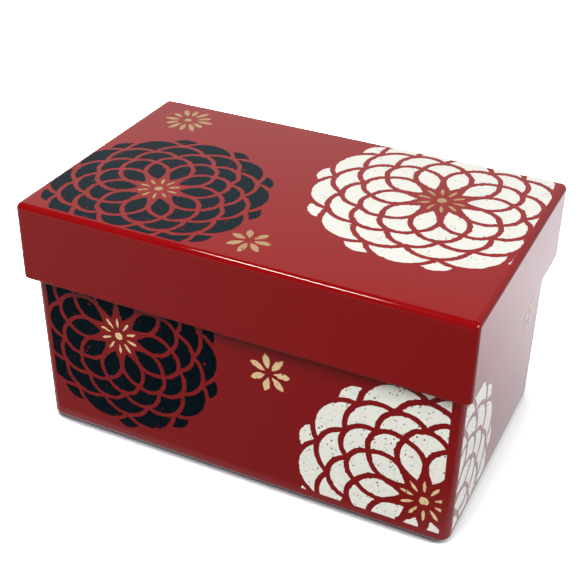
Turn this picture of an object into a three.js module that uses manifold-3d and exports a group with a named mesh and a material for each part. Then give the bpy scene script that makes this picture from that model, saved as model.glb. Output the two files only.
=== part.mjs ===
// A lacquered bento box: a deep lid over a lower box, with a drop-in side-dish tray under the lid.
// Units are millimetres. +Z is up, the front is -Y, and the origin is the centre of the underside on the table.
import * as THREE from "three";
import { mergeVertices } from "three/addons/utils/BufferGeometryUtils.js";
import Module from "manifold-3d";

const wasm = await Module();
wasm.setup();

// Driving sizes

const overallHeight = 100;
const seatGap = 0.25; // between a piece and what it sits on
const leastCorner = 0.8; // smallest radius of an upright corner
const arcDivisions = 2; // half the straight steps in a rounded edge
const cornerDivisions = 3; // half the straight steps in an upright corner

const lid = {
  length: 180,
  width: 111,
  depth: 32.2, // top face to the edge of the skirt
  wall: 2.3,
  top: 2.4,
  draft: 0.25, // degrees, the skirt opens downwards
  corner: 2.6, // upright corners
  edge: 2.4, // rounding round the top face
  lip: 0.7, // rounding of the skirt's lower edge
  innerEdge: 1.2,
};

const lidClearance = 0.4; // each side, between the lid and the box's rim

const box = {
  wall: 2.6,
  floor: 2.8,
  draft: 0.45, // degrees, the walls close in downwards
  corner: 5.4,
  bottomEdge: 3,
  lip: 0.8,
  innerEdge: 4,
  recess: 0.8, // height of the underside above the ring that the box stands on
  standingRing: 6, // width
};

const trayClearance = 0.6; // each side, between the tray and the box's inner wall

const tray = {
  depth: 29.5, // flange to underside
  wall: 1.8,
  floor: 1.8,
  draft: 2,
  corner: 4,
  flange: 1.6, // thickness
  rimRise: 3.3, // rim above the flange
  flangeSetBack: 0.3, // from the box's outer face
  lip: 0.5,
  bottomEdge: 4,
  innerEdge: 3,
};

const trayLid = {
  roof: 1.0,
  skirt: 1.2,
  plug: 1.2,
  panel: 1.0,
  recess: 4.6, // roof down to the panel
  skirtGap: 0.3, // to the tray's rim
  plugGap: 0.4,
  flangeGap: 0.4, // skirt's lower edge to the tray's flange
  edge: 0.6,
  lip: 0.3,
  pull: { length: 30, reach: 1.5, thickness: 1.6 },
};

const gasket = { height: 1.2, inset: 0.1, round: 0.3 };

const trayDivider = {
  thickness: 1.6,
  at: 18, // along X
  headroom: 0.6, // below the tray lid
  sideGap: 0.6,
  wave: 3,
  waves: 1.5,
};

const riceDivider = {
  thickness: 2,
  at: -4,
  headroom: 1.2, // below the tray
  sideGap: 0.8,
  wave: 4,
  waves: 1,
};

const dividerSteps = 24;

// Heights and outlines that follow from the driving sizes

const rise = (height, degrees) => height * Math.tan(THREE.MathUtils.degToRad(degrees));

const skirtEdge = overallHeight - lid.depth;
const lidUnderside = overallHeight - lid.top;

// From the lid down: the tray lid, its gasket, the tray's rim and flange, and the rim of the box.
const trayLidTop = lidUnderside - seatGap;
const roofUnderside = trayLidTop - trayLid.roof;
const panelTop = trayLidTop - trayLid.recess;
const panelUnderside = panelTop - trayLid.panel;
const gasketTop = roofUnderside - seatGap;
const trayRim = gasketTop - gasket.height - seatGap;
const flangeTop = trayRim - tray.rimRise;
const flangeUnderside = flangeTop - tray.flange;
const trayUnderside = flangeUnderside - tray.depth;
const trayFloor = trayUnderside + tray.floor;
const boxRimHeight = flangeUnderside - seatGap;
const boxFloor = box.recess + box.floor;

// The box's outline at its rim fits inside the lid at the same height.
const lidInsideAtRim = rise(overallHeight - boxRimHeight, lid.draft) - lid.wall;
const boxRim = {
  length: lid.length + 2 * (lidInsideAtRim - lidClearance),
  width: lid.width + 2 * (lidInsideAtRim - lidClearance),
  corner: box.corner,
};
const boxBottomOffset = -rise(boxRimHeight, box.draft);
const boxInside = (height) => -box.wall - rise(boxRimHeight - height, box.draft);

// The tray's outline at its flange drops into the box's mouth.
const trayMouth = {
  length: boxRim.length - 2 * (box.wall + trayClearance),
  width: boxRim.width - 2 * (box.wall + trayClearance),
  corner: tray.corner,
};
const trayInside = (height) => -tray.wall - rise(flangeTop - height, tray.draft);

// Solids

// The outline of a rounded rectangle grown by an offset, as points that run anticlockwise.
function outline({ length, width, corner }, offset) {
  const radius = Math.max(corner + offset, leastCorner);
  const x = length / 2 + offset - radius;
  const y = width / 2 + offset - radius;
  const path = new THREE.Path();
  path.absarc(x, -y, radius, -Math.PI / 2, 0);
  path.absarc(x, y, radius, 0, Math.PI / 2);
  path.absarc(-x, y, radius, Math.PI / 2, Math.PI);
  path.absarc(-x, -y, radius, Math.PI, (3 * Math.PI) / 2);
  return path.getPoints(cornerDivisions);
}

// A solid skinned over rings of equal count. The first and the last ring are capped, or joined to each other.
function skin(rings, joined = false) {
  const count = rings[0].length;
  const points = rings.flat();
  const triangles = [];
  const bands = joined ? rings.length : rings.length - 1;
  for (let k = 0; k < bands; k++) {
    const a = k * count;
    const b = ((k + 1) % rings.length) * count;
    for (let i = 0; i < count; i++) {
      const j = (i + 1) % count;
      triangles.push(b + i, b + j, a + j, b + i, a + j, a + i);
    }
  }
  const cap = (ring, start, turned) => {
    const middle = points.length;
    const sum = ring.reduce((total, p) => total.add(p), new THREE.Vector3());
    points.push(sum.divideScalar(count));
    for (let i = 0; i < count; i++) {
      const j = (i + 1) % count;
      triangles.push(middle, start + (turned ? j : i), start + (turned ? i : j));
    }
  };
  if (!joined) {
    cap(rings[0], 0, false);
    cap(rings.at(-1), (rings.length - 1) * count, true);
  }
  const geometry = new THREE.BufferGeometry().setFromPoints(points);
  geometry.setIndex(triangles);
  geometry.computeVertexNormals();
  return geometry;
}

// A wall section swept round a rounded rectangle. The section's points are [offset from the outline, height].
// It runs from a face that looks up, over the wall, to a face that looks down.
function sweep(reference, section, joined = false) {
  const points = section.getPoints(arcDivisions);
  if (joined) points.pop();
  const rings = points.map((p) => outline(reference, p.x).map((q) => new THREE.Vector3(q.x, q.y, p.y)));
  return skin(rings, joined);
}

const quarter = Math.PI / 2;

// A closed geometry as a solid that can be joined.
function solid(geometry) {
  const bare = geometry.clone();
  bare.deleteAttribute("normal");
  bare.deleteAttribute("uv");
  const merged = mergeVertices(bare);
  const mesh = new wasm.Mesh({
    numProp: 3,
    vertProperties: new Float32Array(merged.attributes.position.array),
    triVerts: new Uint32Array(merged.index.array),
  });
  return new wasm.Manifold(mesh);
}

function joinedGeometry(first, second) {
  const mesh = solid(first).add(solid(second)).getMesh();
  const geometry = new THREE.BufferGeometry();
  geometry.setAttribute("position", new THREE.BufferAttribute(mesh.vertProperties, 3));
  geometry.setIndex(new THREE.BufferAttribute(mesh.triVerts, 1));
  geometry.computeVertexNormals();
  return geometry;
}

// Pieces

function outerLid() {
  const { edge, lip, wall, innerEdge } = lid;
  const outside = rise(lid.depth, lid.draft);
  const s = new THREE.Path();
  s.moveTo(-edge, overallHeight);
  s.absarc(-edge, overallHeight - edge, edge, quarter, 0, true);
  s.absarc(outside - lip, skirtEdge + lip, lip, 0, -quarter, true);
  s.absarc(outside - wall + lip, skirtEdge + lip, lip, -quarter, -2 * quarter, true);
  s.absarc(-wall - innerEdge, lidUnderside - innerEdge, innerEdge, 0, quarter);
  return sweep(lid, s);
}

function lowerBox() {
  const { wall, lip, innerEdge, bottomEdge, recess, standingRing } = box;
  const inside = boxInside(boxFloor + innerEdge);
  const ringOuter = boxBottomOffset - bottomEdge;
  const ringInner = ringOuter - standingRing;
  const s = new THREE.Path();
  s.moveTo(inside - innerEdge, boxFloor);
  s.absarc(inside - innerEdge, boxFloor + innerEdge, innerEdge, -quarter, 0);
  s.absarc(-wall + lip, boxRimHeight - lip, lip, 2 * quarter, quarter, true);
  s.absarc(-lip, boxRimHeight - lip, lip, quarter, 0, true);
  s.absarc(ringOuter, bottomEdge, bottomEdge, 0, -quarter, true);
  s.lineTo(ringInner, 0);
  s.lineTo(ringInner, recess);
  return sweep(boxRim, s);
}

function sideDishTray() {
  const { wall, lip, innerEdge, bottomEdge, flangeSetBack } = tray;
  const inside = trayInside(trayFloor + innerEdge);
  const bottom = trayInside(trayUnderside + bottomEdge) + wall;
  const reach = trayClearance + box.wall - flangeSetBack;
  const s = new THREE.Path();
  s.moveTo(inside - innerEdge, trayFloor);
  s.absarc(inside - innerEdge, trayFloor + innerEdge, innerEdge, -quarter, 0);
  s.lineTo(-wall, flangeTop);
  s.absarc(-wall + lip, trayRim - lip, lip, 2 * quarter, quarter, true);
  s.absarc(-lip, trayRim - lip, lip, quarter, 0, true);
  s.lineTo(0, flangeTop);
  s.absarc(reach - lip, flangeTop - lip, lip, quarter, 0, true);
  s.absarc(reach - lip, flangeUnderside + lip, lip, 0, -quarter, true);
  s.lineTo(-rise(tray.flange, tray.draft), flangeUnderside);
  s.absarc(bottom - bottomEdge, trayUnderside + bottomEdge, bottomEdge, 0, -quarter, true);
  return sweep(trayMouth, s);
}

function sideDishLid() {
  const { skirt, plug, edge, lip, skirtGap, plugGap, pull } = trayLid;
  const skirtInner = skirtGap;
  const skirtOuter = skirtInner + skirt;
  const skirtBottom = flangeTop + trayLid.flangeGap;
  const plugOuter = -tray.wall - plugGap;
  const plugInner = plugOuter - plug;
  const plugDrawIn = rise(roofUnderside - panelUnderside, tray.draft);
  const s = new THREE.Path();
  s.moveTo(plugInner - edge, panelTop);
  s.lineTo(plugInner, panelTop + edge);
  s.absarc(plugInner + edge, trayLidTop - edge, edge, 2 * quarter, quarter, true);
  s.absarc(skirtOuter - edge, trayLidTop - edge, edge, quarter, 0, true);
  s.absarc(skirtOuter - lip, skirtBottom + lip, lip, 0, -quarter, true);
  s.absarc(skirtInner + lip, skirtBottom + lip, lip, -quarter, -2 * quarter, true);
  s.lineTo(skirtInner, roofUnderside);
  s.lineTo(plugOuter, roofUnderside);
  s.absarc(plugOuter - plugDrawIn - lip, panelUnderside + lip, lip, 0, -quarter, true);
  const cover = sweep(trayMouth, s);

  // A lip for a fingertip in the middle of the front edge, rooted in the skirt
  const root = trayMouth.width / 2 + skirtInner + skirt / 2;
  const reach = skirt / 2 + pull.reach;
  const plan = new THREE.Shape();
  plan.moveTo(-pull.length / 2, 0);
  plan.lineTo(-pull.length / 2 + pull.reach, -reach);
  plan.lineTo(pull.length / 2 - pull.reach, -reach);
  plan.lineTo(pull.length / 2, 0);
  const grip = new THREE.ExtrudeGeometry(plan, { depth: pull.thickness, bevelEnabled: false });
  grip.translate(0, -root, skirtBottom + lip);
  return joinedGeometry(cover, grip);
}

function sealRing() {
  const { height, inset, round } = gasket;
  const outer = -inset;
  const inner = -tray.wall + inset;
  const low = gasketTop - height;
  const s = new THREE.Path();
  s.moveTo(inner + round, gasketTop);
  s.absarc(outer - round, gasketTop - round, round, quarter, 0, true);
  s.absarc(outer - round, low + round, round, 0, -quarter, true);
  s.absarc(inner + round, low + round, round, -quarter, -2 * quarter, true);
  s.absarc(inner + round, gasketTop - round, round, -2 * quarter, -3 * quarter, true);
  return sweep(trayMouth, s, true);
}

// A waved partition across a compartment. The compartment's wall stands at halfWidth(height), and its floor
// meets the wall in a rounded edge that the partition's lower corners follow.
function partition({ thickness, at, wave, waves, sideGap }, halfWidth, floor, top, innerEdge) {
  const bottom = floor + seatGap;
  const half = halfWidth(floor + innerEdge) - sideGap;
  const corner = innerEdge + sideGap;
  const rings = [];
  for (let step = 0; step <= dividerSteps; step++) {
    const turn = Math.PI * (step / dividerSteps - 0.5);
    const y = half * Math.sin(turn);
    const intoCorner = Math.max(0, Math.abs(y) - (half - corner));
    const low = bottom + corner - Math.sqrt(Math.max(0, corner ** 2 - intoCorner ** 2));
    const x = at + wave * Math.sin((Math.PI * waves * y) / half);
    rings.push([
      new THREE.Vector3(x - thickness / 2, y, low),
      new THREE.Vector3(x + thickness / 2, y, low),
      new THREE.Vector3(x + thickness / 2, y, top),
      new THREE.Vector3(x - thickness / 2, y, top),
    ]);
  }
  return skin(rings);
}

function sideDishDivider() {
  const halfWidth = (height) => trayMouth.width / 2 + trayInside(height);
  const top = panelUnderside - trayDivider.headroom;
  return partition(trayDivider, halfWidth, trayFloor, top, tray.innerEdge);
}

function boxDivider() {
  const halfWidth = (height) => boxRim.width / 2 + boxInside(height);
  const top = trayUnderside - riceDivider.headroom;
  return partition(riceDivider, halfWidth, boxFloor, top, box.innerEdge);
}

// Finishes

const redLacquer = new THREE.MeshStandardMaterial({ color: 0x9a1c20, roughness: 0.18, metalness: 0 });
const blackResin = new THREE.MeshStandardMaterial({ color: 0x1b1a1a, roughness: 0.4, metalness: 0 });
const frostedResin = new THREE.MeshStandardMaterial({ color: 0xe9e6de, roughness: 0.5, metalness: 0 });
const clearSilicone = new THREE.MeshStandardMaterial({ color: 0xf2efe8, roughness: 0.7, metalness: 0 });
const redResin = new THREE.MeshStandardMaterial({ color: 0x8e2226, roughness: 0.45, metalness: 0 });

// Assembly

const bento = new THREE.Group();

function place(name, geometry, material) {
  const mesh = new THREE.Mesh(geometry, material);
  mesh.name = name;
  bento.add(mesh);
}

place("outer_lid", outerLid(), redLacquer);
place("lower_box", lowerBox(), redLacquer);
place("rice_divider", boxDivider(), redResin);
place("side_dish_tray", sideDishTray(), blackResin);
place("tray_divider", sideDishDivider(), redResin);
place("tray_lid", sideDishLid(), frostedResin);
place("tray_gasket", sealRing(), clearSilicone);

export default bento;
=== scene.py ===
import math
import random
import bpy
import bmesh
from mathutils import Matrix, Vector
from mathutils.geometry import intersect_sphere_sphere_2d


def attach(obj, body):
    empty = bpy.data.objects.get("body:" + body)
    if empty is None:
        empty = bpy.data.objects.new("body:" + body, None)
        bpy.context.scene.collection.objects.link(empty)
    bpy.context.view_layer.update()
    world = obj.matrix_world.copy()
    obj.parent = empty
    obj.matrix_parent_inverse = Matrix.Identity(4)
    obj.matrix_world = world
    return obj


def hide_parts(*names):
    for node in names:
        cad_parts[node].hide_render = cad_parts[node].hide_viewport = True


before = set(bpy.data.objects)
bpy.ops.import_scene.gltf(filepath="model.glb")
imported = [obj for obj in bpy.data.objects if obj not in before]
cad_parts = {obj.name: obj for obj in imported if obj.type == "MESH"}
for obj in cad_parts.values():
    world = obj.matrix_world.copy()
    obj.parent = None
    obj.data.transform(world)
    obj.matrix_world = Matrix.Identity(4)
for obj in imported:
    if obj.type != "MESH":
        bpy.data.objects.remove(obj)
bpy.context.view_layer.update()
scene = bpy.context.scene
scene.view_settings.view_transform = "Standard"
print("frame loaded:", len(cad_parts), "nodes")

# All pieces are modelled in millimetres and brought to metres when they are finished.
metre = 1000.0


# Colours and nodes

def linear(hexColour):
    channels = [int(hexColour[i:i + 2], 16) / 255 for i in (1, 3, 5)]
    toned = [c / 12.92 if c <= 0.04045 else ((c + 0.055) / 1.055) ** 2.4 for c in channels]
    return (*toned, 1.0)


def addNode(tree, kind, inputs=None, **settings):
    node = tree.nodes.new("ShaderNode" + kind)
    for name, value in settings.items():
        setattr(node, name, value)
    for name, value in (inputs or {}).items():
        if isinstance(value, bpy.types.NodeSocket):
            tree.links.new(value, node.inputs[name])
        else:
            node.inputs[name].default_value = value
    return node


def newMaterial(name):
    material = bpy.data.materials.new(name)
    material.use_nodes = True
    material.node_tree.nodes.clear()
    return material, material.node_tree


def perMetre(millimetres):
    return metre / millimetres  # texture scale for a feature of that size


# Sockets of the Mix node when it mixes colours
mixA, mixB, mixResult = 6, 7, 2


# Sprayed urethane lacquer over moulded ABS: deep red under a near mirror gloss, a faint
# orange peel that bends reflections, and a few dust nibs caught in the coat.
lacquer = dict(
    red="#8a0809", redDeep="#84070a", dust="#b87470",
    cloud=40, peel=2.4, peelHeight=0.0012, nibSpacing=6.0, nibSize=0.16, nibCore=0.4,
    roughness=(0.045, 0.075), ior=1.46,
)


def sprayedLacquer():
    material, tree = newMaterial("lacquer_urethane_sprayed_red")
    spot = addNode(tree, "TexCoord").outputs["Object"]
    cloud = addNode(tree, "TexNoise", {"Vector": spot, "Scale": perMetre(lacquer["cloud"]), "Detail": 3.0})
    tone = addNode(tree, "Mix", {
        0: cloud.outputs["Fac"], mixA: linear(lacquer["red"]), mixB: linear(lacquer["redDeep"]),
    }, data_type="RGBA")
    nibs = addNode(tree, "TexVoronoi", {"Vector": spot, "Scale": perMetre(lacquer["nibSpacing"])})
    reach = lacquer["nibSize"] / lacquer["nibSpacing"]
    nib = addNode(tree, "MapRange", {
        "Value": nibs.outputs["Distance"], "From Min": lacquer["nibCore"] * reach, "From Max": reach,
        "To Min": 1.0, "To Max": 0.0,
    })
    colour = addNode(tree, "Mix", {
        0: nib.outputs["Result"], mixA: tone.outputs[mixResult], mixB: linear(lacquer["dust"]),
    }, data_type="RGBA")
    peel = addNode(tree, "TexNoise", {"Vector": spot, "Scale": perMetre(lacquer["peel"]), "Detail": 1.0})
    height = addNode(tree, "Math", {0: nib.outputs["Result"], 1: peel.outputs["Fac"]}, operation="ADD")
    bump = addNode(tree, "Bump", {
        "Height": height.outputs["Value"], "Strength": 1.0, "Distance": lacquer["peelHeight"] / metre,
    })
    low, high = lacquer["roughness"]
    gloss = addNode(tree, "MapRange", {"Value": cloud.outputs["Fac"], "To Min": low, "To Max": high})
    shader = addNode(tree, "BsdfPrincipled", {
        "Base Color": colour.outputs[mixResult], "Roughness": gloss.outputs["Result"],
        "IOR": lacquer["ior"], "Normal": bump.outputs["Normal"],
    })
    addNode(tree, "OutputMaterial", {"Surface": shader.outputs["BSDF"]})
    return material


# Screen-printed resin ink: a thin raised film with a soft gloss. Where the stencil did not take,
# there are specks, most of them faint and a few as large as a pinhead: the lacquer's red in the black and
# gold inks, and a darker red in the white ones.
# The inks on the box's walls are copies of the lid's with painted light: their white and gold are lighter
# and their black darker than on the lid, set for the light on the walls. Relief, grain and spacing are in
# millimetres, and a turn in radians sets each ink's specks apart.
plainTint, coldTint = (1.0, 1.0, 1.0, 1.0), (0.05, 0.95, 1.0, 1.0)  # of the gloss, seen head on
goldTint, paleTint = (1.0, 0.9, 0.7, 1.0), (1.0, 0.95, 0.85, 1.0)
inks = {
    "black": dict(
        colour="#00040a", colourThin="#0f2029", gloss=(0.27, 0.53), ior=1.24, tint=coldTint, relief=0.02,
        speck="#84070a", speckSpacing=2.2, speckChance=(0.6, 1.0), speckDepth=0.9, turn=0.4),
    # painted light: the three wall inks are copies of the lid's inks, lighter (white, gold) or darker
    # (black) for the light on the walls
    "wallBlack": dict(
        colour="#000106", colourThin="#06131e", gloss=(0.24, 0.5), ior=1.21, tint=coldTint, relief=0.02,
        speck="#84070a", speckSpacing=2.2, speckChance=(0.55, 0.95), speckDepth=0.9, turn=0.7),
    "white": dict(
        colour="#dddcd4", colourThin="#d2d0c7", gloss=(0.1, 0.18), ior=1.45, tint=plainTint, relief=0.006,
        speck="#6a2624", speckSpacing=1.2, speckChance=(0.35, 1.0), speckDepth=0.75, turn=1.3),
    "wallWhite": dict(
        colour="#fffff8", colourThin="#f2f2e4", gloss=(0.05, 0.09), ior=1.45, tint=plainTint, relief=0.006,
        speck="#620c11", speckSpacing=1.2, speckChance=(0.1, 0.5), speckDepth=1.0, turn=1.9),
    "gold": dict(
        colour="#b3966c", colourThin="#9a7b53", gloss=(0.3, 0.42), ior=1.45, tint=goldTint, relief=0.006,
        speck="#84070a", speckSpacing=1.6, speckChance=(0.3, 0.7), speckDepth=0.9, turn=2.2),
    "wallGold": dict(
        colour="#f6d9a8", colourThin="#e4c38c", gloss=(0.1, 0.18), ior=1.45, tint=goldTint, relief=0.006,
        speck="#84070a", speckSpacing=1.6, speckChance=(0.3, 0.7), speckDepth=0.9, turn=2.9),
    # painted light: a paler, glossier gold for the box's ends, set for the light there
    "paleGold": dict(
        colour="#cbb48f", colourThin="#b79c72", gloss=(0.1, 0.18), ior=1.45, tint=paleTint, relief=0.006,
        speck="#84070a", speckSpacing=1.6, speckChance=(0.5, 1.0), speckDepth=0.8, turn=3.5),
}
# of the speck sizes here, reach, ragged and soft are shares of the spacing
inkFilm = dict(
    mottle=3.0, mottleShare=0.4, grain=0.7, thin=(0.5, 0.9),
    speckReach=1 / 3, speckPower=1.5, speckRagged=0.12, speckSoft=0.03, raggedGrain=0.9,
)


def printedInk(name):
    ink, film = inks[name], inkFilm
    material, tree = newMaterial("ink_resin_screen_printed_" + name)
    spot = addNode(tree, "TexCoord").outputs["Object"]
    mottle = addNode(tree, "TexNoise", {"Vector": spot, "Scale": perMetre(film["mottle"]), "Detail": 3.0})
    grain = addNode(tree, "TexNoise", {"Vector": spot, "Scale": perMetre(film["grain"]), "Detail": 2.0})
    uneven = addNode(tree, "Math", {
        0: mottle.outputs["Fac"], 1: film["mottleShare"], 2: grain.outputs["Fac"],
    }, operation="MULTIPLY_ADD")
    low, high = film["thin"]
    thin = addNode(tree, "MapRange", {"Value": uneven.outputs["Value"], "From Min": low, "From Max": high})
    tone = addNode(tree, "Mix", {
        0: thin.outputs["Result"], mixA: linear(ink["colour"]), mixB: linear(ink["colourThin"]),
    }, data_type="RGBA")
    turned = addNode(tree, "Mapping", {"Vector": spot, "Rotation": (ink["turn"],) * 3})
    specks = addNode(tree, "TexVoronoi", {
        "Vector": turned.outputs["Vector"], "Scale": perMetre(ink["speckSpacing"]),
    })
    chance = addNode(tree, "SeparateColor", {"Color": specks.outputs["Color"]})
    # most specks are small, and some are faint
    share = addNode(tree, "Math", {0: chance.outputs["Red"], 1: film["speckPower"]}, operation="POWER")
    size = addNode(tree, "Math", {0: share.outputs["Value"], 1: film["speckReach"]}, operation="MULTIPLY")
    low, high = ink["speckChance"]
    strength = addNode(tree, "MapRange", {
        "Value": chance.outputs["Green"], "From Min": low, "From Max": high, "To Max": ink["speckDepth"],
    })
    ragged = addNode(tree, "TexNoise", {
        "Vector": spot, "Scale": perMetre(film["raggedGrain"]), "Detail": 2.0,
    })
    shape = addNode(tree, "Math", {
        0: ragged.outputs["Fac"], 1: film["speckRagged"], 2: specks.outputs["Distance"],
    }, operation="MULTIPLY_ADD")
    outside = addNode(tree, "Math", {0: shape.outputs["Value"], 1: size.outputs["Value"]},
                      operation="SUBTRACT")
    edge, soft = film["speckRagged"] / 2, film["speckSoft"]
    inside = addNode(tree, "MapRange", {
        "Value": outside.outputs["Value"], "From Min": edge - soft, "From Max": edge + soft,
        "To Min": 1.0, "To Max": 0.0,
    })
    speck = addNode(tree, "Math", {0: inside.outputs["Result"], 1: strength.outputs["Result"]},
                    operation="MULTIPLY")
    colour = addNode(tree, "Mix", {
        0: speck.outputs["Value"], mixA: tone.outputs[mixResult], mixB: linear(ink["speck"]),
    }, data_type="RGBA")
    height = addNode(tree, "Math", {0: grain.outputs["Fac"], 1: speck.outputs["Value"]},
                     operation="SUBTRACT")
    bump = addNode(tree, "Bump", {
        "Height": height.outputs["Value"], "Strength": 1.0, "Distance": ink["relief"] / metre,
    })
    low, high = ink["gloss"]
    gloss = addNode(tree, "MapRange", {"Value": thin.outputs["Result"], "To Min": low, "To Max": high})
    shader = addNode(tree, "BsdfPrincipled", {
        "Base Color": colour.outputs[mixResult], "Roughness": gloss.outputs["Result"],
        "IOR": ink["ior"], "Specular Tint": ink["tint"], "Normal": bump.outputs["Normal"],
    })
    addNode(tree, "OutputMaterial", {"Surface": shader.outputs["BSDF"]})
    return material


# Injection-moulded resins: a fine sparked grain from the mould, and slow streaks where the
# melt flowed.
resins = {
    "black": dict(colour="#1d1c1c", colourFlow="#262524", grain=0.8, grainHeight=0.004, flow=22, swirl=0.6,
                  gloss=(0.3, 0.42), ior=1.5),
    "red": dict(colour="#8e2024", colourFlow="#7c1a1e", grain=0.9, grainHeight=0.004, flow=18, swirl=0.6,
                gloss=(0.32, 0.46), ior=1.5),
}


def mouldedResin(name):
    resin = resins[name]
    material, tree = newMaterial("resin_abs_moulded_" + name)
    spot = addNode(tree, "TexCoord").outputs["Object"]
    flow = addNode(tree, "TexNoise", {
        "Vector": spot, "Scale": perMetre(resin["flow"]), "Detail": 3.0, "Distortion": resin["swirl"],
    })
    tone = addNode(tree, "Mix", {
        0: flow.outputs["Fac"], mixA: linear(resin["colour"]), mixB: linear(resin["colourFlow"]),
    }, data_type="RGBA")
    grain = addNode(tree, "TexNoise", {"Vector": spot, "Scale": perMetre(resin["grain"]), "Detail": 3.0})
    bump = addNode(tree, "Bump", {
        "Height": grain.outputs["Fac"], "Strength": 1.0, "Distance": resin["grainHeight"] / metre,
    })
    low, high = resin["gloss"]
    gloss = addNode(tree, "MapRange", {"Value": grain.outputs["Fac"], "To Min": low, "To Max": high})
    shader = addNode(tree, "BsdfPrincipled", {
        "Base Color": tone.outputs[mixResult], "Roughness": gloss.outputs["Result"],
        "IOR": resin["ior"], "Normal": bump.outputs["Normal"],
    })
    addNode(tree, "OutputMaterial", {"Surface": shader.outputs["BSDF"]})
    return material


# Moulded polypropylene with a frosted skin: milky, lets some light through, dull white sheen.
frost = dict(colour="#e8e5dc", colourThick="#d9d6cb", cloud=16, grain=0.6, grainHeight=0.006,
             gloss=(0.42, 0.56), ior=1.49, transmission=0.3)


def frostedPolypropylene():
    material, tree = newMaterial("polypropylene_moulded_frosted")
    spot = addNode(tree, "TexCoord").outputs["Object"]
    cloud = addNode(tree, "TexNoise", {"Vector": spot, "Scale": perMetre(frost["cloud"]), "Detail": 3.0})
    tone = addNode(tree, "Mix", {
        0: cloud.outputs["Fac"], mixA: linear(frost["colour"]), mixB: linear(frost["colourThick"]),
    }, data_type="RGBA")
    grain = addNode(tree, "TexNoise", {"Vector": spot, "Scale": perMetre(frost["grain"]), "Detail": 2.0})
    bump = addNode(tree, "Bump", {
        "Height": grain.outputs["Fac"], "Strength": 1.0, "Distance": frost["grainHeight"] / metre,
    })
    low, high = frost["gloss"]
    gloss = addNode(tree, "MapRange", {"Value": grain.outputs["Fac"], "To Min": low, "To Max": high})
    shader = addNode(tree, "BsdfPrincipled", {
        "Base Color": tone.outputs[mixResult], "Roughness": gloss.outputs["Result"], "IOR": frost["ior"],
        "Transmission Weight": frost["transmission"], "Normal": bump.outputs["Normal"],
    })
    addNode(tree, "OutputMaterial", {"Surface": shader.outputs["BSDF"]})
    return material


# Moulded silicone: matt and milky, with lint that clings to it.
rubber = dict(
    colour="#efece4", lint="#c9c4b8", cloud=9, cloudShare=0.35, cloudHeight=0.02, cloudBump=0.4,
    lintSpacing=2.2, lintSize=0.18, lintCore=0.5, roughness=0.62, ior=1.41,
)


def mouldedSilicone():
    material, tree = newMaterial("silicone_moulded_clear")
    spot = addNode(tree, "TexCoord").outputs["Object"]
    lint = addNode(tree, "TexVoronoi", {"Vector": spot, "Scale": perMetre(rubber["lintSpacing"])})
    reach = rubber["lintSize"] / rubber["lintSpacing"]
    speck = addNode(tree, "MapRange", {
        "Value": lint.outputs["Distance"], "From Min": rubber["lintCore"] * reach, "From Max": reach,
        "To Min": 1.0, "To Max": 0.0,
    })
    cloud = addNode(tree, "TexNoise", {"Vector": spot, "Scale": perMetre(rubber["cloud"]), "Detail": 3.0})
    shade = addNode(tree, "Math", {
        0: cloud.outputs["Fac"], 1: rubber["cloudShare"], 2: speck.outputs["Result"],
    }, operation="MULTIPLY_ADD", use_clamp=True)
    tone = addNode(tree, "Mix", {
        0: shade.outputs["Value"], mixA: linear(rubber["colour"]), mixB: linear(rubber["lint"]),
    }, data_type="RGBA")
    bump = addNode(tree, "Bump", {
        "Height": cloud.outputs["Fac"], "Strength": rubber["cloudBump"],
        "Distance": rubber["cloudHeight"] / metre,
    })
    shader = addNode(tree, "BsdfPrincipled", {
        "Base Color": tone.outputs[mixResult], "Roughness": rubber["roughness"], "IOR": rubber["ior"],
        "Normal": bump.outputs["Normal"],
    })
    addNode(tree, "OutputMaterial", {"Surface": shader.outputs["BSDF"]})
    return material


lacquerRed = sprayedLacquer()
inkMaterials = {name: printedInk(name) for name in inks}
resinBlack = mouldedResin("black")
resinRed = mouldedResin("red")
polypropylene = frostedPolypropylene()
silicone = mouldedSilicone()
print("materials made")


# Modelling helpers

mergeGap, cutGap = 0.001, 0.0001  # points closer than this are one, and lie on a cut
sharpAngle = 50  # degrees past which an edge stays sharp in the shading


def roundSection(corners, steps):
    # corners of a wall section are (growth from the plan, height, radius); arcs replace the sharp ones
    points = []
    for index, (grow, height, radius) in enumerate(corners):
        here = Vector((grow, height))
        if radius == 0:
            points.append(here)
            continue
        back = (Vector(corners[index - 1][:2]) - here).normalized()
        ahead = (Vector(corners[(index + 1) % len(corners)][:2]) - here).normalized()
        half = back.angle(ahead) / 2
        centre = here + (back + ahead).normalized() * radius / math.sin(half)
        start = here + back * radius / math.tan(half) - centre
        sweep = -start.angle_signed(here + ahead * radius / math.tan(half) - centre)
        for step in range(steps + 1):
            points.append(centre + Matrix.Rotation(sweep * step / steps, 2) @ start)
    return points


def planRing(bm, plan, grow, height):
    # one rounded rectangle, grown from the plan
    ring = bmesh.ops.create_grid(bm, x_segments=1, y_segments=1, size=0.5)["verts"]
    bmesh.ops.scale(bm, vec=(plan["length"] + 2 * grow, plan["width"] + 2 * grow, 1), verts=ring)
    bmesh.ops.translate(bm, vec=(0, 0, height), verts=ring)
    rounded = bmesh.ops.bevel(
        bm, geom=ring, offset=max(plan["corner"] + grow, plan["leastCorner"]), offset_type="OFFSET",
        segments=plan["cornerSteps"], profile=0.5, affect="VERTICES", material=-1)
    return rounded["verts"][0].link_faces[0]


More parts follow.
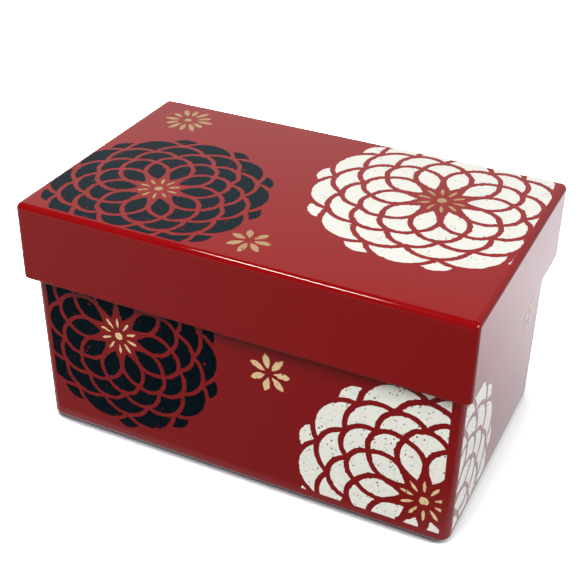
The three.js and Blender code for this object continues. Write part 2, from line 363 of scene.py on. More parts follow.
def sweptShell(plan, section, closed=False):
    # bridges the rings of a rounded wall section; the first and last ring stay filled, or meet
    # the rings are stacked far apart for that, since rings in one plane can join half a turn out
    bm = bmesh.new()
    section = roundSection(section, plan["edgeSteps"])
    rings = [planRing(bm, plan, point.x, plan["length"] * layer) for layer, point in enumerate(section)]
    loops = [list(ring.edges) for ring in rings]
    layers = [list(ring.verts) for ring in rings]
    opened = rings if closed else rings[1:-1]
    bmesh.ops.delete(bm, geom=opened, context="FACES_ONLY")
    for lower, upper in zip(loops, loops[1:]):
        bmesh.ops.bridge_loops(bm, edges=lower + upper)
    if closed:
        bmesh.ops.bridge_loops(bm, edges=loops[-1] + loops[0])
    for verts, point in zip(layers, section):
        for vert in verts:
            vert.co.z = point.y
    bmesh.ops.remove_doubles(bm, verts=bm.verts, dist=mergeGap)
    bmesh.ops.recalc_face_normals(bm, faces=bm.faces)
    return bm


def finishPiece(name, bm, material, body, node=None, smooth=True):
    bmesh.ops.scale(bm, vec=(1 / metre,) * 3, verts=bm.verts)
    mesh = bpy.data.meshes.new(name)
    bm.to_mesh(mesh)
    bm.free()
    mesh.materials.append(material)
    if smooth:
        mesh.shade_smooth()
        mesh.set_sharp_from_angle(angle=math.radians(sharpAngle))
    piece = bpy.data.objects.new(name, mesh)
    scene.collection.objects.link(piece)
    if smooth:
        weighted = piece.modifiers.new("flatFaces", "WEIGHTED_NORMAL")
        weighted.keep_sharp = True
    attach(piece, body)
    if node:
        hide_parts(node)
    return piece


def leanIn(height, degrees):
    return height * math.tan(math.radians(degrees))


# Outer lid: top face, rounded edge, deep skirt, hollow underside
outerLid = dict(
    length=180, width=111, corner=2.6, leastCorner=0.8, cornerSteps=10, edgeSteps=8,
    top=100, depth=32.2, wall=2.3, roof=2.4, draft=0.25, edge=2.4, lip=0.7, innerEdge=1.2, band=12,
)


def makeOuterLid():
    lid = outerLid
    flare = leanIn(lid["depth"], lid["draft"])
    skirtEdge = lid["top"] - lid["depth"]
    ceiling = lid["top"] - lid["roof"]
    section = [
        (-lid["band"], lid["top"], 0),
        (0, lid["top"], lid["edge"]),
        (flare, skirtEdge, lid["lip"]),
        (flare - lid["wall"], skirtEdge, lid["lip"]),
        (-lid["wall"], ceiling, lid["innerEdge"]),
        (-lid["band"], ceiling, 0),
    ]
    return finishPiece("outer_lid_shell", sweptShell(lid, section), lacquerRed, "outer_lid",
                       "outer_lid")


# Lower box: one moulding that stands on a flat ring round its recessed underside
lowerBox = dict(
    length=174.692, width=105.692, corner=5.4, leastCorner=0.8, cornerSteps=10, edgeSteps=6,
    rim=89.5, wall=2.6, floor=3.6, draft=0.45, lip=0.8, innerEdge=4, bottomEdge=3,
    recess=0.8, standingRing=6, ringEdge=0.3, band=14,
)


def makeLowerBox():
    box = lowerBox
    bottom = -leanIn(box["rim"], box["draft"])
    ringInner = bottom - box["bottomEdge"] - box["standingRing"]
    section = [
        (-box["band"], box["floor"], 0),
        (bottom - box["wall"], box["floor"], box["innerEdge"]),
        (-box["wall"], box["rim"], box["lip"]),
        (0, box["rim"], box["lip"]),
        (bottom, 0, box["bottomEdge"]),
        (ringInner, 0, box["ringEdge"]),
        (ringInner, box["recess"], box["ringEdge"]),
        (ringInner - box["band"], box["recess"], 0),
    ]
    return finishPiece("lower_box_shell", sweptShell(box, section), lacquerRed, "lower_box",
                       "lower_box")


# Side-dish tray: hangs on the box's rim by its flange
sideDishTray = dict(
    length=168.292, width=99.292, corner=4, leastCorner=0.8, cornerSteps=8, edgeSteps=5,
    rim=94.65, flangeTop=91.35, flange=1.6, flangeReach=2.9, underside=60.25, wall=1.8, floor=62.05,
    draft=2, lip=0.5, innerEdge=3, bottomEdge=4, rootEdge=0.4, band=14,
)


def makeSideDishTray():
    tray = sideDishTray
    inside = -tray["wall"] - leanIn(tray["flangeTop"] - tray["floor"], tray["draft"])
    bottom = -leanIn(tray["flangeTop"] - tray["underside"], tray["draft"])
    flangeUnder = tray["flangeTop"] - tray["flange"]
    section = [
        (-tray["band"], tray["floor"], 0),
        (inside, tray["floor"], tray["innerEdge"]),
        (-tray["wall"], tray["flangeTop"], 0),
        (-tray["wall"], tray["rim"], tray["lip"]),
        (0, tray["rim"], tray["lip"]),
        (0, tray["flangeTop"], tray["rootEdge"]),
        (tray["flangeReach"], tray["flangeTop"], tray["lip"]),
        (tray["flangeReach"], flangeUnder, tray["lip"]),
        (-leanIn(tray["flange"], tray["draft"]), flangeUnder, tray["rootEdge"]),
        (bottom, tray["underside"], tray["bottomEdge"]),
        (-tray["band"], tray["underside"], 0),
    ]
    return finishPiece("side_dish_tray_shell", sweptShell(tray, section), resinBlack, "side_dish_tray",
                       "side_dish_tray")


# Tray lid: a skirt over the tray's rim, a plug inside it, a sunken panel and a lip for a fingertip
trayLid = dict(
    length=168.292, width=99.292, corner=4, leastCorner=0.8, cornerSteps=8, edgeSteps=4,
    top=97.35, roof=1.0, skirtInner=0.3, skirt=1.2, skirtBottom=91.75, plugOuter=-2.2, plug=1.2,
    panelTop=92.75, panel=1.0, draft=2, edge=0.6, lip=0.3, band=16,
    pullLength=30, pullReach=1.5, pullLow=92.05, pullThickness=1.6, pullEdge=0.4, pullSteps=3,
    faceGap=0.02,
)


def onFront(bm, frontFace):
    return [f for f in bm.faces if all(abs(v.co.y - frontFace) < trayLid["faceGap"] for v in f.verts)]


def makeTrayLid():
    cover = trayLid
    skirtOuter = cover["skirtInner"] + cover["skirt"]
    roofUnder = cover["top"] - cover["roof"]
    panelUnder = cover["panelTop"] - cover["panel"]
    plugInner = cover["plugOuter"] - cover["plug"]
    drawIn = leanIn(roofUnder - panelUnder, cover["draft"])
    section = [
        (-cover["band"], cover["panelTop"], 0),
        (plugInner, cover["panelTop"], cover["edge"]),
        (plugInner, cover["top"], cover["edge"]),
        (skirtOuter, cover["top"], cover["edge"]),
        (skirtOuter, cover["skirtBottom"], cover["lip"]),
        (cover["skirtInner"], cover["skirtBottom"], cover["lip"]),
        (cover["skirtInner"], roofUnder, cover["lip"]),
        (cover["plugOuter"], roofUnder, cover["lip"]),
        (cover["plugOuter"] - drawIn, panelUnder, cover["lip"]),
        (-cover["band"], panelUnder, 0),
    ]
    bm = sweptShell(cover, section)
    # cut the finger lip's outline into the front of the skirt, then pull it out
    frontFace = -(cover["width"] / 2 + skirtOuter)
    halfPull, pullHigh = cover["pullLength"] / 2, cover["pullLow"] + cover["pullThickness"]
    cuts = [((-halfPull, 0, 0), (1, 0, 0)), ((halfPull, 0, 0), (1, 0, 0)),
            ((0, 0, cover["pullLow"]), (0, 0, 1)), ((0, 0, pullHigh), (0, 0, 1))]
    for place, direction in cuts:
        front = onFront(bm, frontFace)
        around = {e for f in front for e in f.edges} | {v for f in front for v in f.verts}
        bmesh.ops.bisect_plane(bm, geom=front + list(around), dist=cutGap, plane_co=place,
                               plane_no=direction)
    patch = [f for f in onFront(bm, frontFace)
             if abs(f.calc_center_median().x) < halfPull
             and cover["pullLow"] < f.calc_center_median().z < pullHigh]
    pulled = bmesh.ops.extrude_face_region(bm, geom=patch)["geom"]
    tip = [v for v in pulled if isinstance(v, bmesh.types.BMVert)]
    bmesh.ops.delete(bm, geom=patch, context="FACES_ONLY")
    bmesh.ops.translate(bm, vec=(0, -cover["pullReach"], 0), verts=tip)
    bmesh.ops.scale(bm, vec=(1 - 2 * cover["pullReach"] / cover["pullLength"], 1, 1), verts=tip)
    tipEdges = [e for e in pulled if isinstance(e, bmesh.types.BMEdge)]
    bmesh.ops.bevel(bm, geom=tipEdges, offset=cover["pullEdge"], offset_type="OFFSET",
                    segments=cover["pullSteps"], profile=0.5, affect="EDGES", material=-1)
    bmesh.ops.recalc_face_normals(bm, faces=bm.faces)
    return finishPiece("tray_lid_shell", bm, polypropylene, "tray_lid", "tray_lid")


# Gasket: a closed ring of silicone on the tray's rim
trayGasket = dict(
    length=168.292, width=99.292, corner=4, leastCorner=0.8, cornerSteps=8, edgeSteps=4,
    outer=-0.1, inner=-1.7, top=96.1, low=94.9, edge=0.3,
)


def makeTrayGasket():
    seal = trayGasket
    section = [
        (seal["inner"], seal["top"], seal["edge"]),
        (seal["outer"], seal["top"], seal["edge"]),
        (seal["outer"], seal["low"], seal["edge"]),
        (seal["inner"], seal["low"], seal["edge"]),
    ]
    return finishPiece("tray_gasket_ring", sweptShell(seal, section, closed=True), silicone, "tray_lid",
                       "tray_gasket")


# Dividers: waved plates that stand across a compartment
dividers = [
    dict(name="rice_divider_plate", body="rice_divider", node="rice_divider", at=-4, half=48.80, low=3.85,
         top=59.05, corner=4.8, thickness=2.0, wave=4, waves=1.0, strips=56, edge=0.6),
    dict(name="tray_divider_plate", body="tray_divider", node="tray_divider", at=18, half=46.33, low=62.3,
         top=91.15, corner=3.6, thickness=1.6, wave=3, waves=1.5, strips=64, edge=0.5),
]
plateSteps = dict(corner=8, edge=3, rimAngle=60)  # arcs of a plate, and how sharp its rim's edges are


def makeDivider(plate):
    bm = bmesh.new()
    height = plate["top"] - plate["low"]
    sheet = bmesh.ops.create_grid(bm, x_segments=1, y_segments=1, size=0.5)["verts"]
    bmesh.ops.scale(bm, vec=(2 * plate["half"], height, 1), verts=sheet)
    feet = [v for v in sheet if v.co.y < 0]
    bmesh.ops.bevel(bm, geom=feet, offset=plate["corner"], offset_type="OFFSET",
                    segments=plateSteps["corner"], profile=0.5, affect="VERTICES", material=-1)
    bmesh.ops.solidify(bm, geom=bm.faces[:], thickness=plate["thickness"])
    bmesh.ops.recalc_face_normals(bm, faces=bm.faces)
    rim = [e for e in bm.edges if e.calc_face_angle() > math.radians(plateSteps["rimAngle"])]
    bmesh.ops.bevel(bm, geom=rim, offset=plate["edge"], offset_type="OFFSET",
                    segments=plateSteps["edge"], profile=0.5, affect="EDGES", material=-1)
    # cut into strips, then stood up and waved
    for strip in range(1, plate["strips"]):
        along = plate["half"] * (2 * strip / plate["strips"] - 1)
        bmesh.ops.bisect_plane(bm, geom=bm.verts[:] + bm.edges[:] + bm.faces[:], dist=cutGap,
                               plane_co=(along, 0, 0), plane_no=(1, 0, 0))
    faceHeights = [v.co.z for v in bm.verts]
    middle = (min(faceHeights) + max(faceHeights)) / 2
    for vert in bm.verts:
        along = vert.co.x / plate["half"]
        wave = plate["wave"] * math.sin(math.pi * plate["waves"] * along)
        vert.co = (plate["at"] + wave + vert.co.z - middle, vert.co.x,
                   plate["low"] + height / 2 + vert.co.y)
    bmesh.ops.recalc_face_normals(bm, faces=bm.faces)
    if bm.calc_volume(signed=True) < 0:  # a thin waved plate can come out inside out
        bmesh.ops.reverse_faces(bm, faces=bm.faces)
    return finishPiece(plate["name"], bm, resinRed, plate["body"], plate["node"])


makeOuterLid()
makeLowerBox()
makeSideDishTray()
makeTrayLid()
makeTrayGasket()
for plate in dividers:
    makeDivider(plate)
print("shells and dividers made")


# Print

# The chrysanthemum: lens petals round the heart, then rings of scales that step outwards.
# Sizes are for a flower of full size; ringPeaks are where the lines between the rings crest.
chrysanthemum = dict(
    petals=10, lensRoot=8.4, lensMeet=14.84, lensFoot=9.3, lensShoulder=16.2,
    ringPeaks=(26.4, 31.16, 37.6, 43.51, 50.29), tipReach=51.0, tipRadius=7.4,
    lensBow=0.05, leafBows=(0.1, 0.08), heartDot=1.85, dotSides=18,
    strokeFrom=4.2, strokeTo=9.5, strokeWidth=1.2, strokeBelly=7.4,
    pointSpacing=0.9, joinGap=0.02, wander=0.13, nickShare=0.07, nick=0.4,
)
inkRise, inkSink = 0.06, 0.03  # film above and below the lacquer's face
handCut = random.Random(11)


def arcRun(bm, start, centre, end):
    # vertices from start to end, turned about a centre
    sweep = -(start - centre).angle_signed(end - centre)
    run = abs(sweep) * (start - centre).length
    first = bm.verts.new((start.x, start.y, 0))
    bmesh.ops.spin(bm, geom=[first], cent=(centre.x, centre.y, 0), axis=(0, 0, 1), angle=sweep,
                   steps=max(2, round(run / chrysanthemum["pointSpacing"])))


def onePetal(outline, turn):
    # a filled petal from arcs of (start, centre, end)
    bm = bmesh.new()
    for start, centre, end in outline:
        arcRun(bm, start, centre, end)
    bmesh.ops.remove_doubles(bm, verts=bm.verts, dist=chrysanthemum["joinGap"])
    bmesh.ops.contextual_create(bm, geom=bm.edges[:])
    bmesh.ops.rotate(bm, cent=(0, 0, 0), matrix=Matrix.Rotation(turn, 3, "Z"), verts=bm.verts)
    return bm


def ringOf(outline, count, turn):
    # a petal repeated round the heart
    bm = onePetal(outline, turn)
    bmesh.ops.spin(bm, geom=bm.verts[:] + bm.edges[:] + bm.faces[:], cent=(0, 0, 0), axis=(0, 0, 1),
                   angle=2 * math.pi * (count - 1) / count, steps=count - 1, use_duplicate=True)
    return bm


def bowed(start, end, bulge):
    # an arc that swells to the right of its run by a share of its length
    chord = end - start
    aside = Vector((-chord.y, chord.x)).normalized()
    sag = bulge * chord.length
    radius = (chord.length ** 2 / 4 + sag ** 2) / (2 * sag)
    return start, (start + end) / 2 + aside * (radius - sag), end


def bothSides(arcs):
    # an outline that is alike on both sides of its axis
    return arcs + [tuple(Vector((p.x, -p.y)) for p in arc[::-1]) for arc in arcs[::-1]]


def leafOutline(foot, tip, width, belly):
    # pointed at both ends and widest at the belly
    side = Vector((belly, width / 2))
    outer, inner = chrysanthemum["leafBows"]
    return bothSides([bowed(Vector((tip, 0)), side, outer), bowed(side, Vector((foot, 0)), inner)])


def petalRings(line):
    # the outlines of the flower's rings, with half a line taken off every side
    flower = chrysanthemum
    halfLine = line / 2
    step = math.pi / flower["petals"]
    peaks = flower["ringPeaks"]
    root, tip = flower["lensRoot"], peaks[0]
    meet = flower["lensMeet"] * Vector((math.cos(step), math.sin(step)))
    # a lens side is part of a circle through its root, its tip and the point where neighbours meet
    middle, chord = (root + tip) / 2, (tip - root) / 2
    drop = ((middle - meet.x) ** 2 + meet.y ** 2 - chord ** 2) / (2 * meet.y)
    sideRadius = math.hypot(chord, drop)
    below, above = Vector((middle, drop)), Vector((middle, -drop))
    inner = sideRadius - halfLine
    point = Vector((middle + math.sqrt(inner ** 2 - drop ** 2), 0))
    aside = flower["lensShoulder"] - middle
    shoulder = Vector((flower["lensShoulder"], drop + math.sqrt(inner ** 2 - aside ** 2)))
    # from the shoulder it runs nearly straight to the foot
    lensEnd = bowed(shoulder, Vector((flower["lensFoot"], 0)), flower["lensBow"])
    rings = [bothSides([(point, below, shoulder), lensEnd])]
    turned = Matrix.Rotation(step, 2)
    side, grown = turned @ above, sideRadius + halfLine  # the next lens, seen from between two
    reaches = list(zip(peaks[1:], peaks[:-1])) + [None]
    for reach in reaches:
        if reach:
            peak, before = reach
            crest = (peak ** 2 - before ** 2) / (2 * (peak - before * math.cos(step)))
            centre, radius = Vector((crest, 0)), peak - crest - halfLine
        else:  # the outermost tips
            centre, radius = Vector((flower["tipReach"] - flower["tipRadius"], 0)), flower["tipRadius"]
        crossings = intersect_sphere_sphere_2d(centre, radius, side, grown)
        corner = max((p for p in crossings if p.y > 0), key=lambda p: p.length)
        under = Vector((corner.x, -corner.y))
        inside = Vector((side.x + math.sqrt(grown ** 2 - side.y ** 2), 0))
        otherSide = Vector((side.x, -side.y))
        rings.append([(under, centre, corner), (corner, side, inside), (inside, otherSide, under)])
        side, grown = turned @ centre, radius + 2 * halfLine
    return rings


def joinInto(bm, part):
    mesh = bpy.data.meshes.new("stencilPart")
    part.to_mesh(mesh)
    part.free()
    bm.from_mesh(mesh)
    bpy.data.meshes.remove(mesh)


def cutByHand(bm):
    # a cut stencil is never quite even: edges wander and have small nicks
    for face in bm.faces:
        heart = face.calc_center_median()
        for vert in face.verts:
            inward = (heart - vert.co).normalized()
            if handCut.random() < chrysanthemum["nickShare"]:
                vert.co += inward * chrysanthemum["nick"]
            wander = chrysanthemum["wander"]
            vert.co += Vector((handCut.uniform(-wander, wander), handCut.uniform(-wander, wander), 0))


def flowerPetals(place):
    bm = bmesh.new()
    step = math.pi / chrysanthemum["petals"]
    for ring, outline in enumerate(petalRings(place["line"])):
        joinInto(bm, ringOf(outline, chrysanthemum["petals"], step * (ring % 2)))
    setPlace(bm, place)
    return bm


def flowerHeart(place):
    # gold dot and the strokes between the lens petals
    flower = chrysanthemum
    bm = bmesh.new()
    bmesh.ops.create_circle(bm, cap_ends=True, segments=flower["dotSides"], radius=flower["heartDot"])
    strokes = leafOutline(flower["strokeFrom"], flower["strokeTo"], flower["strokeWidth"],
                          flower["strokeBelly"])
    joinInto(bm, ringOf(strokes, flower["petals"], math.pi / flower["petals"]))
    setPlace(bm, place)
    return bm


def smallFlower(place):
    bm = bmesh.new()
    for turn, reach in zip(place["turns"], place["reaches"]):
        petal = leafOutline(place["foot"], reach, place["petalWidth"], place["belly"])
        joinInto(bm, onePetal(petal, math.radians(turn)))
    if place.get("dot"):
        bmesh.ops.create_circle(bm, cap_ends=True, segments=place["dotSides"], radius=place["dot"])
    setPlace(bm, place)
    return bm


def setPlace(bm, place):
    scale = place.get("scale", 1)
    bmesh.ops.scale(bm, vec=(scale, scale, 1), verts=bm.verts)
    cutByHand(bm)
    turn = Matrix.Rotation(math.radians(place.get("turn", 0)), 3, "Z")
    bmesh.ops.rotate(bm, cent=(0, 0, 0), matrix=turn, verts=bm.verts)
    bmesh.ops.translate(bm, vec=(*place["at"], 0), verts=bm.verts)


def trimTo(bm, margins):
    # keeps the print inside (axis, side, where) margins of its face
    for axis, side, where in margins:
        direction = Vector((0, 0, 0))
        direction[axis] = side
        bmesh.ops.bisect_plane(bm, geom=bm.verts[:] + bm.edges[:] + bm.faces[:], dist=cutGap,
                               plane_co=direction * where, plane_no=direction, clear_outer=True)


def wallFace(reach, turn):
    # a wall of the lower box: u along it, v up it, w out of it
    return (Matrix.Rotation(math.radians(turn), 4, "Z") @ Matrix.Translation((0, -reach, 0))
            @ Matrix.Rotation(math.radians(90 + lowerBox["draft"]), 4, "X"))


footDraw = leanIn(lowerBox["rim"], lowerBox["draft"])
longWall = lowerBox["width"] / 2 - footDraw
endWall = lowerBox["length"] / 2 - footDraw
printFaces = {
    "lid": Matrix.Translation((0, 0, outerLid["top"])),
    "front": wallFace(longWall, 0),
    "right": wallFace(endWall, 90),
    "back": wallFace(longWall, 180),
    "left": wallFace(endWall, 270),
}


def layInk(name, parts, face, margins, ink, body):
    bm = bmesh.new()
    for part in parts:
        joinInto(bm, part)
    trimTo(bm, margins)
    bmesh.ops.translate(bm, vec=(0, 0, -inkSink), verts=bm.verts)
    raised = bmesh.ops.extrude_face_region(bm, geom=bm.faces[:])["geom"]
    bmesh.ops.translate(bm, vec=(0, 0, inkRise + inkSink),
                        verts=[v for v in raised if isinstance(v, bmesh.types.BMVert)])
    bmesh.ops.recalc_face_normals(bm, faces=bm.faces)
    bmesh.ops.triangulate(bm, faces=bm.faces[:])
    bmesh.ops.transform(bm, matrix=printFaces[face], space=Matrix.Identity(4), verts=bm.verts)
    return finishPiece(name, bm, inkMaterials[ink], body, smooth=False)


# The small flowers are drawn free-hand: each petal has its own turn and reach
sevenPetals = dict(turns=(2, 53, 102, 154, 208, 259, 311), reaches=(8.6, 9.0, 8.7, 8.4, 8.3, 8.5, 8.7),
                   foot=1.9, petalWidth=2.8, belly=5.6)
lidInks = dict(black="black", white="white", gold="gold")
# the box's walls take copies of the inks with painted light in their colours
wallInks = dict(black="wallBlack", white="wallWhite", gold="wallGold")
endInks = dict(white="wallWhite", gold="paleGold")
lidPrint = dict(
    white=dict(at=(51.17, 18.73), scale=1.002, turn=89.3, line=2.15),
    black=dict(at=(-48.26, -20.99), scale=0.862, turn=87.7, line=2.1),
    small=[
        dict(at=(-70.0, 39.0), turns=(96, 65, 34, 5, -25, -51, -79, -109, -137, -169, 158, 124),
             reaches=(9.7, 11.0, 10.0, 11.3, 10.2, 11.6, 10.3, 11.2, 9.5, 10.2, 9.3, 10.8),
             foot=3.9, petalWidth=2.1, belly=8.0, dot=1.6, dotSides=16),
        dict(at=(0.75, -40.5), turns=(-90, -43, 4, 55, 116, 166, 220),
             reaches=(8.9, 8.7, 8.3, 7.7, 7.6, 8.0, 8.5),
             foot=1.9, petalWidth=2.6, belly=5.4),
    ],
    inks=lidInks, margins=[(0, 1, 87.5), (0, -1, 87.75), (1, 1, 53.9), (1, -1, 52.4)],
)
frontPrint = dict(
    black=dict(at=(-49.6, 51.05), scale=0.865, turn=1.4, line=2.0),
    white=dict(at=(76.49, 18.38), scale=1.006, turn=1.9, line=2.25),
    small=[dict(at=(14.6, 54.7), **sevenPetals)],
    inks=wallInks, margins=[(0, 1, 83.1), (0, -1, 81.6), (1, 1, 86), (1, -1, -5.3)],
)
endPrint = dict(
    white=dict(at=(-57.66, 20.2), scale=0.993, turn=18.2, line=2.0),
    small=[dict(at=(30.6, 51.7), scale=0.86, **sevenPetals)],
    inks=endInks, margins=[(0, -1, 48.2), (1, 1, 86), (1, -1, -5.2)],
)


def printFace(face, layout, body):
    hearts = []
    for ink in ("black", "white"):
        if ink in layout:
            layInk(face + "_" + ink + "_flower", [flowerPetals(layout[ink])], face, layout["margins"],
                   layout["inks"][ink], body)
            hearts.append(flowerHeart(layout[ink]))
    small = [smallFlower(place) for place in layout["small"]]
    layInk(face + "_gold_flowers", hearts + small, face, layout["margins"], layout["inks"]["gold"],
           body)


printFace("lid", lidPrint, "outer_lid")
for face, layout in (("front", frontPrint), ("right", endPrint), ("back", frontPrint), ("left", endPrint)):
    printFace(face, layout, "lower_box")


# Stage

# Paper floor: matt, white to the camera with a painted soft shade where the box meets it. In the gloss of
# the box
# it shows a painted reflection: a glow, bright beside the right end and dim in front.
paper = dict(
    size=3.0, bounce="#a6a6a6", seen="#fbffff", seenGain=3.5,
    shade="#4c4b4e", shadeReach=0.012, shadeFrom=0.5, shadeTo=0.86, shadeSamples=16,
    fillFrom=0.082, fillTo=0.0875, fill=0.76,
    mirrored="#fbfafe", dimLeft=0.71, dimRight=0.18, dimFrom=-0.45, dimTo=0.06,
    bright=1.55, stripFrom=(0.06, 0.09), stripTo=(0.26, 0.14), stripFront=(-0.1, -0.02),
    slantFrom=0.09, slantTo=0.13, slant=0.048, fadeFrom=0.0, fadeTo=0.16, fade=0.52,
    nearFrom=-0.0585, nearTo=-0.0555, nearGain=2.5, farFrom=0.35, farTo=0.7, white=1.0,
)


def makeFloor():
    bm = bmesh.new()
    bmesh.ops.create_grid(bm, x_segments=1, y_segments=1, size=paper["size"])
    mesh = bpy.data.meshes.new("floor")
    bm.to_mesh(mesh)
    bm.free()
    floor = bpy.data.objects.new("floor", mesh)
    scene.collection.objects.link(floor)
    material, tree = newMaterial("paper_matt_white")
    path = addNode(tree, "LightPath")
    mirrored = addNode(tree, "Math", {
        0: path.outputs["Is Glossy Ray"], 1: path.outputs["Is Transmission Ray"],
    }, operation="ADD", use_clamp=True)
    place = addNode(tree, "TexCoord").outputs["Object"]
    spot = addNode(tree, "SeparateXYZ", {"Vector": place})
    # painted shade: close to the box, ambient occlusion darkens the floor's colour toward the shade colour
    openness = addNode(tree, "AmbientOcclusion", {"Distance": paper["shadeReach"]},
                       samples=paper["shadeSamples"])
    clear = addNode(tree, "MapRange", {
        "Value": openness.outputs["AO"], "From Min": paper["shadeFrom"], "From Max": paper["shadeTo"],
    })
    paintedContactShade = addNode(tree, "Mix", {
        0: clear.outputs["Result"], mixA: linear(paper["shade"]), mixB: linear(paper["seen"]),
    }, data_type="RGBA")
    brightened = addNode(tree, "VectorMath", {0: paintedContactShade.outputs[mixResult], "Scale": paper["seenGain"]},
                         operation="SCALE")
    tone = addNode(tree, "Mix", {
        0: path.outputs["Is Camera Ray"], mixA: linear(paper["bounce"]), mixB: brightened.outputs["Vector"],
    }, data_type="RGBA")
    matt = addNode(tree, "BsdfDiffuse", {"Color": tone.outputs[mixResult]})
    # the painted bright strip ends further back away from the box
    slant = addNode(tree, "MapRange", {
        "Value": spot.outputs["X"], "From Min": paper["slantFrom"], "From Max": paper["slantTo"],
        "To Min": 0.0, "To Max": paper["slant"],
    })
    depth = addNode(tree, "Math", {0: spot.outputs["Y"], 1: slant.outputs["Result"]}, operation="SUBTRACT")
    paintedStrip = 1.0
    stripEdges = ((spot.outputs["X"], paper["stripFrom"]), (spot.outputs["X"], paper["stripTo"]),
                  (depth.outputs["Value"], paper["stripFront"]))
    for where, (start, end) in stripEdges:
        edge = addNode(tree, "MapRange", {"Value": where, "From Min": start, "From Max": end},
                       interpolation_type="SMOOTHSTEP")
        both = addNode(tree, "Math", {0: paintedStrip, 1: edge.outputs["Result"]}, operation="MULTIPLY")
        paintedStrip = both.outputs["Value"]
    along = addNode(tree, "MapRange", {
        "Value": spot.outputs["Y"], "From Min": paper["fadeFrom"], "From Max": paper["fadeTo"],
        "To Min": paper["fade"] * paper["bright"], "To Max": paper["bright"],
    }, interpolation_type="SMOOTHSTEP")
    dim = addNode(tree, "MapRange", {
        "Value": spot.outputs["X"], "From Min": paper["dimFrom"], "From Max": paper["dimTo"],
        "To Min": paper["dimLeft"], "To Max": paper["dimRight"],
    })
    # painted reflection: in front, the glow is brighter right up against the box
    contact = addNode(tree, "MapRange", {
        "Value": spot.outputs["Y"], "From Min": paper["nearFrom"], "From Max": paper["nearTo"],
        "To Min": 1.0, "To Max": paper["nearGain"],
    })
    front = addNode(tree, "Math", {0: dim.outputs["Result"], 1: contact.outputs["Result"]},
                    operation="MULTIPLY")
    paintedReflection = addNode(tree, "MapRange", {
        "Value": paintedStrip, "To Min": front.outputs["Value"], "To Max": along.outputs["Result"],
    })
    # painted reflection: glossy rays see the floor as this glow instead of the paper under the lamps
    glow = addNode(tree, "Emission", {
        "Color": linear(paper["mirrored"]), "Strength": paintedReflection.outputs["Result"],
    })
    near = addNode(tree, "MixShader", {
        0: mirrored.outputs["Value"], 1: matt.outputs["BSDF"], 2: glow.outputs["Emission"],
    })
    # further off it runs into the white background
    away = addNode(tree, "VectorMath", {0: place}, operation="LENGTH")
    far = addNode(tree, "MapRange", {
        "Value": away.outputs["Value"], "From Min": paper["farFrom"], "From Max": paper["farTo"],
    }, interpolation_type="SMOOTHSTEP")
    # and painted light: beside the right end the floor is painted whiter to the camera, lifting its shade
    paintedLift = addNode(tree, "MapRange", {
        "Value": spot.outputs["X"], "From Min": paper["fillFrom"], "From Max": paper["fillTo"],
        "To Min": far.outputs["Result"], "To Max": paper["fill"],
    })
    whitened = addNode(tree, "Math", {0: paintedLift.outputs["Result"], 1: far.outputs["Result"]},
                       operation="MAXIMUM")
    farSeen = addNode(tree, "Math", {0: whitened.outputs["Value"], 1: path.outputs["Is Camera Ray"]},
                      operation="MULTIPLY")
    white = addNode(tree, "Emission", {"Color": (1, 1, 1, 1), "Strength": paper["white"]})
    shader = addNode(tree, "MixShader", {
        0: farSeen.outputs["Value"], 1: near.outputs["Shader"], 2: white.outputs["Emission"],
    })
    addNode(tree, "OutputMaterial", {"Surface": shader.outputs["Shader"]})
    mesh.materials.append(material)


# Room light: a dim studio with a pale wall behind and to the left of the box, brighter
# towards its foot. The camera sees it as plain white.
room = dict(
    dim=0.05, wall=0.93, wallTowards=(-0.45, 0.89, 0), wallSide=(0.3, 0.8), wallHeight=(0.8, 0.3), seen=1.0,
)


def makeRoom():
    world = bpy.data.worlds.new("room")
    scene.world = world
    world.use_nodes = True
    tree = world.node_tree
    tree.nodes.clear()
    direction = addNode(tree, "TexCoord").outputs["Generated"]
    nearness = addNode(tree, "VectorMath", {0: direction, 1: room["wallTowards"]},
                       operation="DOT_PRODUCT")
    low, high = room["wallSide"]
    across = addNode(tree, "MapRange", {
        "Value": nearness.outputs["Value"], "From Min": low, "From Max": high,
    }, interpolation_type="SMOOTHSTEP")
    up = addNode(tree, "SeparateXYZ", {"Vector": direction})
    top, foot = room["wallHeight"]
    height = addNode(tree, "MapRange", {"Value": up.outputs["Z"], "From Min": top, "From Max": foot})
    wall = addNode(tree, "Math", {0: across.outputs["Result"], 1: height.outputs["Result"]},
                   operation="MULTIPLY")
    glow = addNode(tree, "MapRange", {
        "Value": wall.outputs["Value"], "To Min": room["dim"], "To Max": room["wall"],
    })
    path = addNode(tree, "LightPath")
    strength = addNode(tree, "Mix", {
        0: path.outputs["Is Camera Ray"], 2: glow.outputs["Result"], 3: room["seen"],
    }, data_type="FLOAT")
    shade = addNode(tree, "Background", {"Color": (1, 1, 1, 1), "Strength": strength.outputs[0]})
    addNode(tree, "OutputWorld", {"Surface": shade.outputs["Background"]})


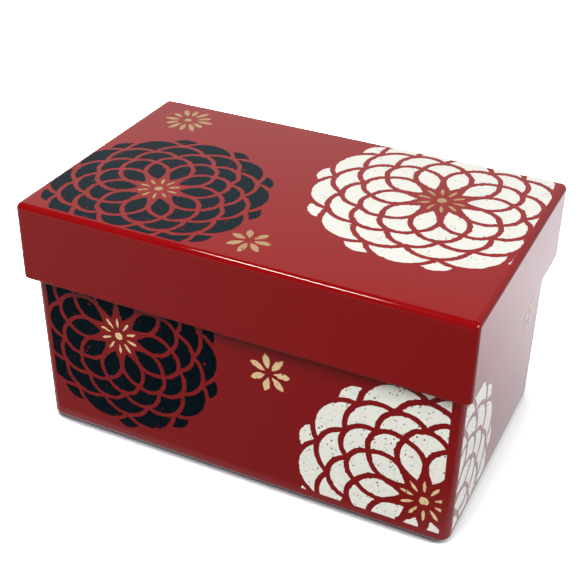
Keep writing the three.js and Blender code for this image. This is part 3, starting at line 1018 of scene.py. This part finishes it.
# Lamps: sizes in metres and powers in watts. The key and the back fill are not mirrored, so that
# the strip lamp's glint lies alone on the lid's edge.
lamps = [
    dict(name="keySoftbox", at=(-0.15, -0.62, 1.1), aim=(0, 0, 0.06), size=(0.28, 0.62), power=13.2,
         mirrored=False),
    dict(name="rightFill", at=(0.95, -0.1, 0.5), aim=(0, 0, 0.05), size=(0.5, 0.4), power=5.05),
    dict(name="backFill", at=(-0.3, 1.0, 0.28), aim=(0, 0, 0.06), size=(0.5, 0.4), power=3.5,
         mirrored=False),
    dict(name="stripLamp", at=(-0.396, -0.39, 1.1), aim=(0, -0.05, 0.1), size=(0.06, 0.43),
         along=(0.47, -0.88, 0), power=5.0),
]


def makeLamps():
    for lamp in lamps:
        data = bpy.data.lights.new(lamp["name"], "AREA")
        data.shape = "RECTANGLE"
        data.size, data.size_y = lamp["size"]
        data.energy = lamp["power"]
        light = bpy.data.objects.new(lamp["name"], data)
        away = (Vector(lamp["at"]) - Vector(lamp["aim"])).normalized()
        side = Vector(lamp.get("along", (0, 1, 0))).cross(away).normalized()
        turn = Matrix((side, away.cross(side), away)).transposed().to_4x4()
        light.matrix_world = Matrix.Translation(lamp["at"]) @ turn
        light.visible_glossy = lamp.get("mirrored", True)
        scene.collection.objects.link(light)


# Camera: angles in radians, lengths in metres, focal length and frame in pixels; the shot is square
shot = dict(
    azimuth=0.44348, elevation=0.56425, roll=0.01336, distance=0.488909, aside=-0.001589, above=0.047642,
    focal=1150.616, frame=580, sensor=36.0, nearest=0.01,
)


def makeCamera():
    a, e = shot["azimuth"], shot["elevation"]
    back = Vector((math.sin(a) * math.cos(e), -math.cos(a) * math.cos(e), math.sin(e)))
    level = Vector((math.cos(a), math.sin(a), 0))
    upright = back.cross(level)
    right = math.cos(shot["roll"]) * level + math.sin(shot["roll"]) * upright
    up = math.cos(shot["roll"]) * upright - math.sin(shot["roll"]) * level
    data = bpy.data.cameras.new("shot")
    data.sensor_width = shot["sensor"]
    data.lens = shot["sensor"] * shot["focal"] / shot["frame"]
    data.clip_start = shot["nearest"]
    camera = bpy.data.objects.new("shot", data)
    turn = Matrix((right, up, back)).transposed().to_4x4()
    place = right * shot["aside"] + up * shot["above"] + back * shot["distance"]
    camera.matrix_world = Matrix.Translation(place) @ turn
    scene.collection.objects.link(camera)
    scene.camera = camera


makeFloor()
makeRoom()
makeLamps()
makeCamera()
print("stage set")
